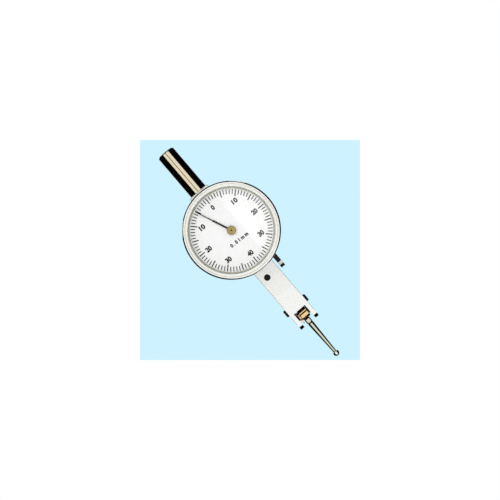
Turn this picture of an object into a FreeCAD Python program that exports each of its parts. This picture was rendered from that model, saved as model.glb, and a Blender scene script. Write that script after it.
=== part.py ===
"""Lever type dial test indicator: one STEP per piece, in millimetres.

+Z runs up the stem, the dial faces -Y and +X is to its right. The origin is on the stem's axis, at its foot.
"""

import FreeCAD, Part
import math
import os

V = FreeCAD.Vector

# --- Driving dimensions ---

STEM_R = 3.0
STEM_LENGTH = 16.4
DIAL_Z = -16.1            # centre of the dial
BEZEL_R = 15.5
BAR_HALF_W = 3.65         # the bar that carries everything, half its width along X
BAR_HALF_D = 3.1          # and half its depth along Y
NOSE_HALF_D = 2.6         # the same at the nose
NOSE_START_Z = -41.4      # where the bar begins to thin towards the nose
BAR_END_Z = -49.0         # foot of the bar, which is also the top of the fork's slot
FORK_END_Z = -54.5
PIVOT_Z = -50.9           # axis that the stylus and the main lever swing about
SLOT_HALF_W = 2.3
STYLUS_LENGTH = 16.3      # from the pivot's axis to the ball's centre
BALL_R = 1.0

RUN = 0.02                # radial clearance of a running fit
EDGE = 0.2                # chamfer along the bar's edges
NOSE_EDGE = 0.08          # the same along the nose and its ears

# Heights towards the viewer, from the bar's mid-plane: everything about the dial's axis stacks on these.
CASE_BACK_H = 2.6
FLOOR_H = 3.4
BRIDGE_TOP_H = 3.95
PINION_H = (4.05, 4.75)
PLATE_H = (4.85, 5.55)
SPRING_H = (5.65, 5.9)
RIM_H = 6.0
DIAL_H = (6.1, 6.5)
NEEDLE_H = (6.7, 6.85)
HUB_H = (6.62, 7.15)
CRYSTAL_H = (7.55, 8.45)

CASE_R = 14.1
CASE_BORE_R = 13.0
BEZEL_SEAT_R = 14.0       # bore that takes crystal and spacer ring
WINDOW_R = 13.67
DIAL_R = 13.9

# --- The train: 128 degrees of pointer for each degree of the main lever ---

PINION_TEETH = 12
SECTOR_RATIO = 8
CROWN_RATIO = 4
PIN_RATIO = 4
CROWN_PINION_R = 1.0      # pitch radius, meshes with the sector
CENTRE_PINION_R = 0.8     # pitch radius, meshes with the crown wheel
SECTOR_R = CROWN_PINION_R * SECTOR_RATIO
CROWN_R = CENTRE_PINION_R * CROWN_RATIO
POINTER_TRAVEL = 400.0
POINTER_REST = 22.5       # degrees left of the stem's line at rest
LEVER_REST = -POINTER_TRAVEL / (2 * PIN_RATIO * SECTOR_RATIO * CROWN_RATIO)

CROWN_Y = -1.2
LINE_LENGTH = math.hypot(CROWN_Y, DIAL_Z - PIVOT_Z)
LINE_ANGLE = math.degrees(math.asin(-CROWN_Y / LINE_LENGTH))    # lean of the line from pivot to crown arbor
TAIL_LENGTH = (LINE_LENGTH - SECTOR_R - CROWN_PINION_R) / (PIN_RATIO + 1)
ARM_LENGTH = PIN_RATIO * TAIL_LENGTH


def along_line(distance, lean):
    """The (y, z) of a point that far from the pivot, on a line leaning forward by that many degrees."""
    y = -distance * math.sin(math.radians(lean))
    z = PIVOT_Z + distance * math.cos(math.radians(lean))
    return y, z


SECTOR_Y, SECTOR_Z = along_line(ARM_LENGTH + TAIL_LENGTH, LINE_ANGLE)
ARM_ANGLE = LINE_ANGLE + LEVER_REST
PIN_Y, PIN_Z = along_line(ARM_LENGTH, ARM_ANGLE)
TAIL_ANGLE = math.degrees(math.atan2(PIN_Y - SECTOR_Y, SECTOR_Z - PIN_Z))
SECTOR_REST = TAIL_ANGLE - LINE_ANGLE


# --- Ways to make and place a solid ---

def wire(steps, lift):
    """Closed wire through flat points; a pair of points in place of one is an arc through the first."""
    start = steps[0]
    last = start
    edges = []
    for step in steps[1:] + [start]:
        if isinstance(step[0], tuple):
            middle, end = step
            edges.append(Part.Arc(lift(last), lift(middle), lift(end)).toShape())
            last = end
        elif step != last:
            edges.append(Part.LineSegment(lift(last), lift(step)).toShape())
            last = step
    return Part.Wire(edges)


def turned(steps):
    """Solid of revolution about Z from an outline of (radius, height) points."""
    section = Part.Face(wire(steps, lambda p: V(p[0], 0, p[1])))
    return section.revolve(V(0, 0, 0), V(0, 0, 1), 360)


def plate(steps, low, high):
    """Flat outline of (x, y) points, as a plate from one height to another."""
    section = Part.Face(wire(steps, lambda p: V(p[0], p[1], low)))
    return section.extrude(V(0, 0, high - low))


def rod(radius, low, high, x=0.0, y=0.0):
    """Round bar along Z."""
    return Part.makeCylinder(radius, high - low, V(x, y, low))


def ring(outer, inner, low, high):
    """Round washer or tube along Z."""
    return rod(outer, low, high).cut(rod(inner, low - 1, high + 1))


def block(x, y, z):
    """Box between pairs of limits along each axis."""
    return Part.makeBox(x[1] - x[0], y[1] - y[0], z[1] - z[0], V(x[0], y[0], z[0]))


def placed(shape, rotation, at):
    return shape.transformed(FreeCAD.Placement(V(*at), rotation).toMatrix())


def facing(shape, x=0.0, z=DIAL_Z, clockwise=0.0):
    """Puts a piece made about Z on an axis that faces the viewer, its height towards the viewer."""
    turn = FreeCAD.Rotation(V(0, 0, 1), -clockwise)
    return placed(shape, FreeCAD.Rotation(V(1, 0, 0), 90).multiply(turn), (x, 0, z))


def across(shape, y, z, lean=0.0):
    """Puts a piece made about Z on an axis along X, its own Y pointing up and leaning forward by an angle."""
    turn = FreeCAD.Rotation(V(0, 0, 1), lean)
    return placed(shape, FreeCAD.Rotation(V(1, 1, 1), 120).multiply(turn), (0, y, z))


def polar(radius, degrees):
    angle = math.radians(degrees)
    return radius * math.cos(angle), radius * math.sin(angle)


def slotted(head, radius, top, width=0.3, depth=0.3):
    """Cuts a screwdriver slot into the top of a head made about Z."""
    return head.cut(block((-radius, radius), (-width / 2, width / 2), (top - depth, top + 1)))


def screw(head_r, head_h, shank_r, shank_length, round_edge=0.12):
    """Cheese-head screw about Z: the seat is at zero and the head stands above it."""
    steps = [
        (0, -shank_length),
        (shank_r - 0.1, -shank_length),
        (shank_r, 0.1 - shank_length),
        (shank_r, 0),
        (head_r, 0),
        (head_r, head_h - round_edge),
        ((head_r - 0.3 * round_edge, head_h - 0.3 * round_edge), (head_r - round_edge, head_h)),
        (0, head_h),
    ]
    return slotted(turned(steps), head_r + 1, head_h)


# --- Gear teeth ---

PRESSURE = math.radians(20)
BACKLASH = 0.03


def involute(angle):
    return math.tan(angle) - angle


def tooth(teeth, pitch_r, centre, low, high):
    """One involute tooth of an external gear about Z, its centre line at that many degrees."""
    module = 2 * pitch_r / teeth
    tip_r = pitch_r + 0.95 * module
    root_r = pitch_r - 1.25 * module
    base_r = pitch_r * math.cos(PRESSURE)
    foot_r = max(root_r, base_r)
    at_pitch = math.pi / (2 * teeth) - BACKLASH / (2 * pitch_r) + involute(PRESSURE)

    def half_angle(radius):
        return math.degrees(at_pitch - involute(math.acos(min(1.0, base_r / radius))))

    middle_r = (foot_r + tip_r) / 2
    inner_r = root_r - 0.05
    steps = [
        polar(inner_r, centre - half_angle(foot_r)),
        polar(foot_r, centre - half_angle(foot_r)),
        (polar(middle_r, centre - half_angle(middle_r)), polar(tip_r, centre - half_angle(tip_r))),
        polar(tip_r, centre + half_angle(tip_r)),
        (polar(middle_r, centre + half_angle(middle_r)), polar(foot_r, centre + half_angle(foot_r))),
        polar(inner_r, centre + half_angle(foot_r)),
    ]
    return plate(steps, low, high)


def root_radius(teeth, pitch_r):
    return pitch_r - 1.25 * 2 * pitch_r / teeth


def pinion(pitch_r, low, high, first=0.0):
    """Full ring of pinion teeth on their root cylinder, one tooth centred at the first angle."""
    teeth = []
    for count in range(PINION_TEETH):
        teeth.append(tooth(PINION_TEETH, pitch_r, first + count * 360 / PINION_TEETH, low, high))
    return rod(root_radius(PINION_TEETH, pitch_r), low, high).multiFuse(teeth).removeSplitter()


# --- Body: the bar with its round case ---

CHANNEL_HALF_W = 2.75
NARROW_HALF_W = 1.9
CHANNEL_FRONT_Y = -2.4
COVER_SEAT_Y = 2.4
WIDE_Z = (-32.2, -11.5)
NARROW_Z = (-40.4, -6.0)
SOCKET_TOP_Z = -42.0
SOCKET_HALF_W = 3.05
SOCKET_HALF_D = 1.9
COVER_HALF_W = 3.12
COVER_Z = (-41.0, -4.5)
COVER_CORNER = 0.6
TENON_R = 2.0
TENON_LENGTH = 4.5
BUSH_R = 1.0
ARBOR_SPOTS = ((CROWN_Y, DIAL_Z), (SECTOR_Y, SECTOR_Z))
SCREW_X = 2.45
COVER_SCREW_SPOTS = [(x, z) for x in (-SCREW_X, SCREW_X) for z in (-38.5, -8.5)]
SIDE_SCREW_Z = -47.5
SIDE_SCREW_R = 0.6
FRONT_SCREW = (-1.1, -34.7)
FRONT_SCREW_R = 0.6
BRIDGE_SCREW_X = (-8.3, -5.5)
BRIDGE_SCREW_R = 0.4
WIRE_R = 0.27
WIRE_RING_R = 14.05
WIRE_H = 4.9


def bar_section(half_w, half_d, z, edge=EDGE):
    """Chamfered rectangle across the bar at height z."""
    inner_w = half_w - edge
    inner_d = half_d - edge
    corners = [
        (inner_w, -half_d), (half_w, -inner_d), (half_w, inner_d), (inner_w, half_d),
        (-inner_w, half_d), (-half_w, inner_d), (-half_w, -inner_d), (-inner_w, -half_d),
    ]
    return wire(corners, lambda p: V(p[0], p[1], z))


def rounded_plate(half_w, low_z, high_z, corner, front_y, back_y):
    """Upright plate with rounded corners, between two depths."""
    mid_z = (low_z + high_z) / 2
    half_h = (high_z - low_z) / 2
    bend = corner * (1 - math.sqrt(0.5))
    steps = []
    for sx, sz in ((1, -1), (1, 1), (-1, 1), (-1, -1)):
        along_x = (sx * (half_w - corner), sz * half_h)
        along_z = (sx * half_w, sz * (half_h - corner))
        middle = (sx * (half_w - bend), sz * (half_h - bend))
        if sx * sz < 0:
            steps += [along_x, (middle, along_z)]
        else:
            steps += [along_z, (middle, along_x)]
    return facing(plate(steps, -back_y, -front_y), z=mid_z)


def changeover_hole():
    return across(rod(CHANGE_BUSH_R, 0, BAR_HALF_W + 1), CHANGE_Y, CHANGE_Z)


def body():
    sections = [
        bar_section(BAR_HALF_W - EDGE, BAR_HALF_D - EDGE, 0),
        bar_section(BAR_HALF_W, BAR_HALF_D, -EDGE),
        bar_section(BAR_HALF_W, BAR_HALF_D, NOSE_START_Z),
        bar_section(BAR_HALF_W, NOSE_HALF_D, BAR_END_Z, NOSE_EDGE),
    ]
    bar = Part.makeLoft(sections, True, True)
    groove_low = WIRE_H - WIRE_R - 0.05
    groove_high = WIRE_H + WIRE_R + 0.05
    groove_r = WIRE_RING_R - WIRE_R - 0.05
    case = turned([
        (0, CASE_BACK_H), (CASE_R - EDGE, CASE_BACK_H), (CASE_R, CASE_BACK_H + EDGE), (CASE_R, groove_low),
        (groove_r, groove_low), (groove_r, groove_high), (CASE_R, groove_high), (CASE_R, RIM_H),
        (CASE_BORE_R, RIM_H), (CASE_BORE_R, FLOOR_H), (0, FLOOR_H),
    ])
    above_floor = facing(rod(CASE_BORE_R, FLOOR_H, RIM_H + 1))
    solid = bar.cut(above_floor).fuse(facing(case)).removeSplitter()
    socket_y = (-SOCKET_HALF_D, SOCKET_HALF_D)
    hollows = [
        block((-CHANNEL_HALF_W, CHANNEL_HALF_W), (-FLOOR_H - 1, COVER_SEAT_Y + 1), WIDE_Z).common(
            facing(rod(CASE_BORE_R, -COVER_SEAT_Y - 1, FLOOR_H + 1))),
        block((-CHANNEL_HALF_W, CHANNEL_HALF_W), (CHANNEL_FRONT_Y, COVER_SEAT_Y + 1), WIDE_Z),
        block((-NARROW_HALF_W, NARROW_HALF_W), (CHANNEL_FRONT_Y, COVER_SEAT_Y + 1), NARROW_Z),
        block((-NARROW_HALF_W, NARROW_HALF_W), socket_y, (SOCKET_TOP_Z - 1, NARROW_Z[1])),
        block((-SOCKET_HALF_W, SOCKET_HALF_W), socket_y, (BAR_END_Z - 1, SOCKET_TOP_Z)),
        rounded_plate(COVER_HALF_W + RUN, COVER_Z[0] - RUN, COVER_Z[1] + RUN, COVER_CORNER, COVER_SEAT_Y, 5),
        rod(TENON_R, -TENON_LENGTH - 0.2, 1),
        changeover_hole(),
    ]
    for y, z in ARBOR_SPOTS:
        hollows.append(across(rod(BUSH_R, -BAR_HALF_W - 1, BAR_HALF_W + 1), y, z))
    for x, z in COVER_SCREW_SPOTS:
        hollows.append(facing(rod(COVER_SCREW_R, -COVER_SEAT_Y - 1, COVER_SCREW_LENGTH - COVER_SEAT_Y), x, z))
    hollows.append(across(rod(SIDE_SCREW_R, -BAR_HALF_W - 1, BAR_HALF_W + 1), 0, SIDE_SCREW_Z))
    front_x, front_z = FRONT_SCREW
    hollows.append(facing(rod(FRONT_SCREW_R, -CHANNEL_FRONT_Y - 0.5, BAR_HALF_D + 1), front_x, front_z))
    for x in BRIDGE_SCREW_X:
        hollows.append(facing(rod(BRIDGE_SCREW_R, CASE_BACK_H + 0.1, FLOOR_H + 1), x))
    for hollow in hollows:
        solid = solid.cut(hollow)
    return solid


def stem():
    """Ground spigot with a chamfered top, screwed into the bar by its tenon."""
    chamfer = 0.35
    return turned([
        (0, -TENON_LENGTH), (TENON_R - 0.2, -TENON_LENGTH), (TENON_R, 0.2 - TENON_LENGTH), (TENON_R, 0),
        (STEM_R - 0.15, 0), (STEM_R, 0.15), (STEM_R, STEM_LENGTH - chamfer), (STEM_R - chamfer, STEM_LENGTH),
        (0, STEM_LENGTH),
    ])


# --- Back cover ---

COVER_SCREW_R = 0.4
COVER_SCREW_LENGTH = 1.8
COVER_HEAD_R = 0.62
COVER_HEAD_DEPTH = 0.3


def back_cover():
    cover = rounded_plate(COVER_HALF_W, COVER_Z[0], COVER_Z[1], COVER_CORNER, COVER_SEAT_Y, BAR_HALF_D)
    for x, z in COVER_SCREW_SPOTS:
        cover = cover.cut(placed(cover_screw_blank(), FreeCAD.Rotation(V(1, 0, 0), -90), (x, BAR_HALF_D, z)))
    return cover


def cover_screw_blank():
    """Countersunk screw about Z, its flat top at zero."""
    return turned([
        (0, -COVER_SCREW_LENGTH), (COVER_SCREW_R, -COVER_SCREW_LENGTH), (COVER_SCREW_R, -COVER_HEAD_DEPTH),
        (COVER_HEAD_R, -0.05), (COVER_HEAD_R, 0), (0, 0),
    ])


def cover_screws():
    screws = []
    for x, z in COVER_SCREW_SPOTS:
        one = slotted(cover_screw_blank(), COVER_HEAD_R + 1, 0, width=0.22, depth=0.2)
        screws.append(placed(one, FreeCAD.Rotation(V(1, 0, 0), -90), (x, BAR_HALF_D, z)))
    return Part.makeCompound(screws)


# --- Nose fork and what is fixed in it ---

POCKET_HALF_D = 1.25
POCKET_TOP_Z = PIVOT_Z + 2.95
ARM_SLOT_HALF_W = 0.8
ARM_SLOT_Y = (-1.45, 1.1)     # room for the arm to swing, more of it in front
SADDLE_R = 2.0
BEARING_R = 0.9
AXLE_R = 0.5
AXLE_HALF_LENGTH = 3.1
AXLE_END_GAP = 0.08


def nose_fork():
    """A tongue that fills the bar's socket, stepping out to two ears that carry on the bar's outside."""
    fit = 0.01
    tongue = block((-SOCKET_HALF_W + fit, SOCKET_HALF_W - fit), (-SOCKET_HALF_D + fit, SOCKET_HALF_D - fit),
                   (BAR_END_Z, SOCKET_TOP_Z))
    section = bar_section(BAR_HALF_W, NOSE_HALF_D, BAR_END_Z, NOSE_EDGE)
    stock = Part.Face(section).extrude(V(0, 0, FORK_END_Z - BAR_END_Z))
    end_centre_z = FORK_END_Z + NOSE_HALF_D
    outline = block((-BAR_HALF_W, BAR_HALF_W), (-NOSE_HALF_D, NOSE_HALF_D), (end_centre_z, BAR_END_Z))
    outline = outline.fuse(across(rod(NOSE_HALF_D, -BAR_HALF_W, BAR_HALF_W), 0, end_centre_z))
    ears = stock.common(outline)
    through = (-NOSE_HALF_D - 1, NOSE_HALF_D + 1)
    ears = ears.cut(block((-SLOT_HALF_W, SLOT_HALF_W), through, (FORK_END_Z - 1, BAR_END_Z)))
    fork = tongue.fuse(ears).removeSplitter()
    pocket_half_w = SLOT_HALF_W + RUN
    pocket_y = (-POCKET_HALF_D, POCKET_HALF_D)
    cuts = [
        block((-pocket_half_w, pocket_half_w), pocket_y, (BAR_END_Z - 0.01, POCKET_TOP_Z)),
        block((-ARM_SLOT_HALF_W, ARM_SLOT_HALF_W), ARM_SLOT_Y, (POCKET_TOP_Z - 1, SOCKET_TOP_Z + 1)),
        across(rod(SADDLE_R, -SLOT_HALF_W, SLOT_HALF_W), 0, PIVOT_Z),
        across(rod(BEARING_R, -BAR_HALF_W - 1, BAR_HALF_W + 1), 0, PIVOT_Z),
        across(rod(SIDE_SCREW_R, -BAR_HALF_W, BAR_HALF_W), 0, SIDE_SCREW_Z),
    ]
    for cut in cuts:
        fork = fork.cut(cut)
    return fork


def both_sides(shape):
    """A piece made about Z, once on each side of the bar, pointing outwards."""
    right = across(shape, 0, 0)
    left = right.mirror(V(0, 0, 0), V(1, 0, 0))
    return right, left


def fork_screws():
    """Two side screws whose black heads stand proud of the bar, tightened with their slots along it."""
    head_r = 1.25
    head_h = 0.8
    reach = 1.2
    one = screw(head_r, head_h, SIDE_SCREW_R, reach, round_edge=0.35)
    one = placed(one, FreeCAD.Rotation(V(0, 0, 1), 90), (0, 0, BAR_HALF_W))
    right, left = both_sides(one)
    pair = Part.makeCompound([right, left])
    pair.translate(V(0, 0, SIDE_SCREW_Z))
    return pair


def bearing_screws():
    """Set screws in the ears, each with a blind bearing hole for the axle's end."""
    one = slotted(rod(BEARING_R, SLOT_HALF_W, BAR_HALF_W - 0.05), BEARING_R + 1, BAR_HALF_W - 0.05)
    one = one.cut(rod(AXLE_R + RUN, SLOT_HALF_W - 1, AXLE_HALF_LENGTH + AXLE_END_GAP))
    right, left = both_sides(one)
    pair = Part.makeCompound([right, left])
    pair.translate(V(0, 0, PIVOT_Z))
    return pair


# --- Stylus and the drum that holds it ---

EYE_R = 1.15
EYE_X = (1.77, 2.27)
DRUM_R = 1.85
DRUM_X = (-1.12, 1.74)
WASHER_R = 1.55
WASHER_X = (-1.74, -1.13)
THREAD_R = 0.6
THREAD_TOP = 0.95
NECK_R = 1.0
NECK_TOP = DRUM_R + 0.02
NECK_END = 3.55
ROD_TOP_R = 0.965
ROD_TAPER = 0.035


def pivot_drum():
    """Brass drum with a rounded shoulder at each end, bored for the axle and tapped for the stylus."""
    low, high = DRUM_X
    bevel = 0.14
    drum = turned([
        (0, low), (DRUM_R - bevel, low), (DRUM_R, low + bevel), (DRUM_R, high - bevel),
        (DRUM_R - bevel, high), (0, high),
    ])
    drum = drum.cut(rod(AXLE_R + RUN, low - 1, high + 1))
    drum = across(drum, 0, PIVOT_Z)
    return drum.cut(rod(THREAD_R, PIVOT_Z - DRUM_R - 1, PIVOT_Z - THREAD_TOP))


def friction_washer():
    """Flanged friction nut beside the drum, with the bent tab that it is turned by."""
    low, high = WASHER_X
    rim = 0.1
    nut = turned([
        (AXLE_R + RUN, low), (WASHER_R - rim, low), (WASHER_R, low + rim), (WASHER_R, high - rim),
        (WASHER_R - rim, high), (AXLE_R + RUN, high),
    ])
    tab_half_w = 0.42
    tab_end = 2.5
    tab = plate([
        (tab_half_w, -1.2), (tab_half_w, -tab_end + tab_half_w),
        ((0, -tab_end), (-tab_half_w, -tab_end + tab_half_w)), (-tab_half_w, -1.2),
    ], low + 0.02, high - 0.13)
    return across(nut.fuse(tab), 0, PIVOT_Z)


def stylus():
    """Screwed-in contact point: waisted neck with spanner flats, then a tapered rod down to the ball."""
    ball_top = STYLUS_LENGTH - BALL_R
    groove_end = NECK_END + 0.25
    groove_r = 0.82
    slope = 0.08
    rod_end_r = ROD_TOP_R - ROD_TAPER * (ball_top - groove_end)
    point = turned([
        (0, -THREAD_TOP), (THREAD_R, -THREAD_TOP), (THREAD_R, -NECK_TOP), (NECK_R - 0.15, -NECK_TOP),
        (NECK_R, -NECK_TOP - 0.15), (NECK_R, -NECK_END), (groove_r, -NECK_END - slope),
        (groove_r, -groove_end + slope), (ROD_TOP_R, -groove_end), (rod_end_r, -ball_top - 0.15), (0, -ball_top - 0.15),
    ])
    flat_y = 0.78
    heights = (-NECK_END + 0.25, -NECK_TOP - 0.3)
    for side in (-1, 1):
        middle = side * (flat_y + 1)
        point = point.cut(block((-NECK_R, NECK_R), (middle - 1, middle + 1), heights))
    point.translate(V(0, 0, PIVOT_Z))
    return point.cut(stylus_ball())


def stylus_ball():
    return Part.makeSphere(BALL_R, V(0, 0, PIVOT_Z - STYLUS_LENGTH))


# --- Main lever: eyes, webs and bridge round the drum, then the long arm up the bar ---

ARM_HALF = 0.5
ARM_START = 2.6
WEB_HALF_D = 0.8
BRIDGE_RISE = (2.1, 2.75)
PIN_R = 0.25
PIN_END_X = -2.1
LEAF_X = (0.03, 0.47)
LEAF_T = 0.1
LEAF_START = 9.0
LEAF_FREE = 12.0
LEAF_END = 22.3
LEAF_BEND = 0.25
RIVET_R = 0.16
RIVET_HEIGHTS = (9.6, 11.2)


def lever_frame(shape):
    """From the lever's own frame, arm along its +Z with the back towards +Y, to its place at rest."""
    return placed(shape, FreeCAD.Rotation(V(1, 0, 0), ARM_ANGLE), (0, 0, PIVOT_Z))


def main_lever():
    inner, outer = EYE_X
    pieces = []
    for low, high in ((inner, outer), (-outer, -inner)):
        eye = across(rod(EYE_R, low, high), 0, 0)
        web = block((low, high), (-WEB_HALF_D, WEB_HALF_D), (0, BRIDGE_RISE[1]))
        pieces += [eye, web]
    bridge = block((-outer, outer), (-WEB_HALF_D, WEB_HALF_D), BRIDGE_RISE)
    arm_top = ARM_LENGTH
    arm = block((-ARM_HALF, ARM_HALF), (-ARM_HALF, ARM_HALF), (ARM_START, arm_top))
    arm_end = across(rod(ARM_HALF, -ARM_HALF, ARM_HALF), 0, arm_top)
    foot_low = ARM_START + 0.2
    foot_high = ARM_START + 1.4
    foot = across(plate([
        (ARM_HALF, ARM_START), (WEB_HALF_D, ARM_START), (WEB_HALF_D, foot_low), (ARM_HALF, foot_high),
        (-ARM_HALF, foot_high), (-WEB_HALF_D, foot_low), (-WEB_HALF_D, ARM_START),
    ], -ARM_HALF, ARM_HALF), 0, 0)
    lever = bridge.multiFuse(pieces + [arm, arm_end, foot]).removeSplitter()
    lever = lever.cut(across(rod(AXLE_R, -outer - 1, outer + 1), 0, 0))
    lever = lever.cut(across(rod(PIN_R, -ARM_HALF - 1, ARM_HALF + 1), 0, ARM_LENGTH))
    for height in RIVET_HEIGHTS:
        lever = lever.cut(rivet_shank(height))
    return lever_frame(lever)


def rivet_shank(height):
    middle = (LEAF_X[0] + LEAF_X[1]) / 2
    shank = rod(RIVET_R, -ARM_HALF - 1, ARM_HALF)
    return placed(shank, FreeCAD.Rotation(V(1, 0, 0), 90), (middle, 0, height))


def lever_axle():
    return across(rod(AXLE_R, -AXLE_HALF_LENGTH, AXLE_HALF_LENGTH), 0, PIVOT_Z)


def drive_pin():
    """Pin at the arm's end that works in the sector's fork."""
    return lever_frame(across(rod(PIN_R, PIN_END_X, ARM_HALF), 0, ARM_LENGTH))


def bias_spring():
    """Leaf riveted to the arm's back, bent back at its free end by the changeover crank."""
    near = ARM_HALF
    far = ARM_HALF + LEAF_T
    middle = (LEAF_FREE + LEAF_END) / 2
    leaf = plate([
        (near, LEAF_START), (far, LEAF_START), (far, LEAF_FREE),
        ((far + LEAF_BEND / 4, middle), (far + LEAF_BEND, LEAF_END)), (near + LEAF_BEND, LEAF_END),
        ((near + LEAF_BEND / 4, middle), (near, LEAF_FREE)),
    ], LEAF_X[0], LEAF_X[1])
    leaf = across(leaf, 0, 0)
    for height in RIVET_HEIGHTS:
        leaf = leaf.cut(rivet_shank(height))
    return lever_frame(leaf)


def spring_rivets():
    rivets = []
    middle = (LEAF_X[0] + LEAF_X[1]) / 2
    seat = ARM_HALF + LEAF_T
    for height in RIVET_HEIGHTS:
        head = turned([(0, seat), (0.21, seat), (0.15, seat + 0.12), (0, seat + 0.16)])
        shank = rod(RIVET_R, -ARM_HALF, seat)
        rivet = placed(head.fuse(shank), FreeCAD.Rotation(V(1, 0, 0), -90), (middle, 0, height))
        rivets.append(lever_frame(rivet))
    return Part.makeCompound(rivets)


# --- Sector gear on its arbor ---

SECTOR_TEETH = PINION_TEETH * SECTOR_RATIO
SECTOR_X = (-1.95, -1.45)
SECTOR_HUB_R = 1.0
ARBOR_R = 0.45
ARBOR_PIVOT_R = 0.3
TOOTHED_COUNT = 8
FORK_HALF_W = 0.75


def sector_gear():
    """Toothed rim on two spokes, hub, and a forked tail that the lever's pin drives."""
    low, high = SECTOR_X
    root_r = root_radius(SECTOR_TEETH, SECTOR_R)
    rim_r = root_r - 0.9
    pitch = 360 / SECTOR_TEETH
    edge = 90 - pitch * TOOTHED_COUNT / 2
    far = 180 - edge
    rim = plate([
        polar(rim_r, edge), polar(root_r, edge), (polar(root_r, 90), polar(root_r, far)),
        polar(rim_r, far), (polar(rim_r, 90), polar(rim_r, edge)),
    ], low, high)
    pieces = [rim, rod(SECTOR_HUB_R, low - 0.5, high + 0.25)]
    for count in range(TOOTHED_COUNT):
        pieces.append(tooth(SECTOR_TEETH, SECTOR_R, edge + pitch * (count + 0.5), low, high))
    for side in (-1, 1):
        spoke = [(0.25, 0.5), (0.85, 0.4), (1.6, rim_r + 0.2), (1.0, rim_r + 0.2)]
        pieces.append(plate([(side * x, y) for x, y in spoke], low, high))
    tail_end = -TAIL_LENGTH - 0.8
    pieces.append(plate([
        (-0.7, 0), (-FORK_HALF_W, tail_end), (FORK_HALF_W, tail_end), (0.7, 0),
    ], low, high))
    gear = rod(SECTOR_HUB_R, low, high).multiFuse(pieces).removeSplitter()
    slot_half_w = PIN_R + RUN
    slot_y = (tail_end - 1, -TAIL_LENGTH + 0.9)
    gear = gear.cut(block((-slot_half_w, slot_half_w), slot_y, (low - 1, high + 1)))
    gear = gear.cut(rod(ARBOR_R, low - 2, high + 2))
    return across(gear, SECTOR_Y, SECTOR_Z, lean=LINE_ANGLE + SECTOR_REST)


def arbor_blank():
    """Shaft across the bar with a reduced pivot at each end."""
    shoulder = CHANNEL_HALF_W - 0.05
    end = BAR_HALF_W - 0.1
    return turned([
        (0, -end), (ARBOR_PIVOT_R, -end), (ARBOR_PIVOT_R, -shoulder), (ARBOR_R, -shoulder),
        (ARBOR_R, shoulder), (ARBOR_PIVOT_R, shoulder), (ARBOR_PIVOT_R, end), (0, end),
    ])


def sector_arbor():
    return across(arbor_blank(), SECTOR_Y, SECTOR_Z)


def arbor_bushes():
    """Four bearing bushes pressed into the bar's cheeks, flush outside."""
    bushes = []
    for y, z in ARBOR_SPOTS:
        bush = ring(BUSH_R, ARBOR_PIVOT_R + RUN, CHANNEL_HALF_W, BAR_HALF_W)
        for one in both_sides(bush):
            one.translate(V(0, y, z))
            bushes.append(one)
    return Part.makeCompound(bushes)


# --- Crown wheel on its arbor ---

CROWN_TEETH = PINION_TEETH * CROWN_RATIO
CROWN_MODULE = 2 * CENTRE_PINION_R / PINION_TEETH
CROWN_RIM = (CROWN_R - 0.22, CROWN_R + 0.22)
CROWN_TIP_X = CENTRE_PINION_R - 0.9 * CROWN_MODULE
CROWN_ROOT_X = CENTRE_PINION_R + 1.2 * CROWN_MODULE
CROWN_BACK_X = 1.8
CROWN_HUB_X = (1.15, 2.5)
CROWN_HUB_R = 0.85
CROWN_PINION_X = (-2.15, -1.25)


def crown_wheel():
    """Contrate wheel: teeth stand on the rim's face, over a recessed web with four windows."""
    inner, outer = CROWN_RIM
    hub_front_x, hub_back_x = CROWN_HUB_X
    web_front_x = 1.35
    wheel = turned([
        (ARBOR_R, hub_front_x), (CROWN_HUB_R, hub_front_x), (CROWN_HUB_R, web_front_x), (inner, web_front_x),
        (inner, CROWN_ROOT_X), (outer, CROWN_ROOT_X), (outer, CROWN_BACK_X - 0.1),
        (outer - 0.1, CROWN_BACK_X), (CROWN_HUB_R, CROWN_BACK_X), (CROWN_HUB_R, hub_back_x), (ARBOR_R, hub_back_x),
    ])
    pitch = 360 / CROWN_TEETH
    half_pitch = math.pi * CROWN_MODULE / 2
    slope = math.tan(PRESSURE)
    at_pitch = half_pitch / 2 - BACKLASH / 2
    half_tip = at_pitch - slope * (CENTRE_PINION_R - CROWN_TIP_X)
    half_root = at_pitch + slope * (CROWN_ROOT_X - CENTRE_PINION_R)
    inset = 0.03
    start = inner + inset
    half_foot = half_root * 0.9
    foot_x = CROWN_ROOT_X + 0.1
    profile = [
        V(start, -half_root, CROWN_ROOT_X), V(start, -half_tip, CROWN_TIP_X),
        V(start, half_tip, CROWN_TIP_X), V(start, half_root, CROWN_ROOT_X),
        V(start, half_foot, foot_x), V(start, -half_foot, foot_x),
    ]
    one = Part.Face(Part.makePolygon(profile + profile[:1])).extrude(V(outer - inner - 2 * inset, 0, 0))
    teeth = []
    for count in range(CROWN_TEETH):
        turn = FreeCAD.Rotation(V(0, 0, 1), 180 + pitch * (count + 0.5))
        teeth.append(placed(one, turn, (0, 0, 0)))
    wheel = wheel.multiFuse(teeth)
    window_r = 0.72
    window_spot_r = 1.9
    for quarter in range(4):
        x, y = polar(window_spot_r, 45 + 90 * quarter)
        wheel = wheel.cut(rod(window_r, web_front_x - 1, CROWN_BACK_X + 1, x, y))
    return across(wheel, CROWN_Y, DIAL_Z)


def crown_arbor():
    low, high = CROWN_PINION_X
    leaves = pinion(CROWN_PINION_R, low, high, first=-90)
    arbor = arbor_blank().fuse(leaves)
    return across(arbor, CROWN_Y, DIAL_Z, lean=LINE_ANGLE - SECTOR_RATIO * SECTOR_REST)


# --- Centre arbor, pointer and hairspring ---

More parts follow.
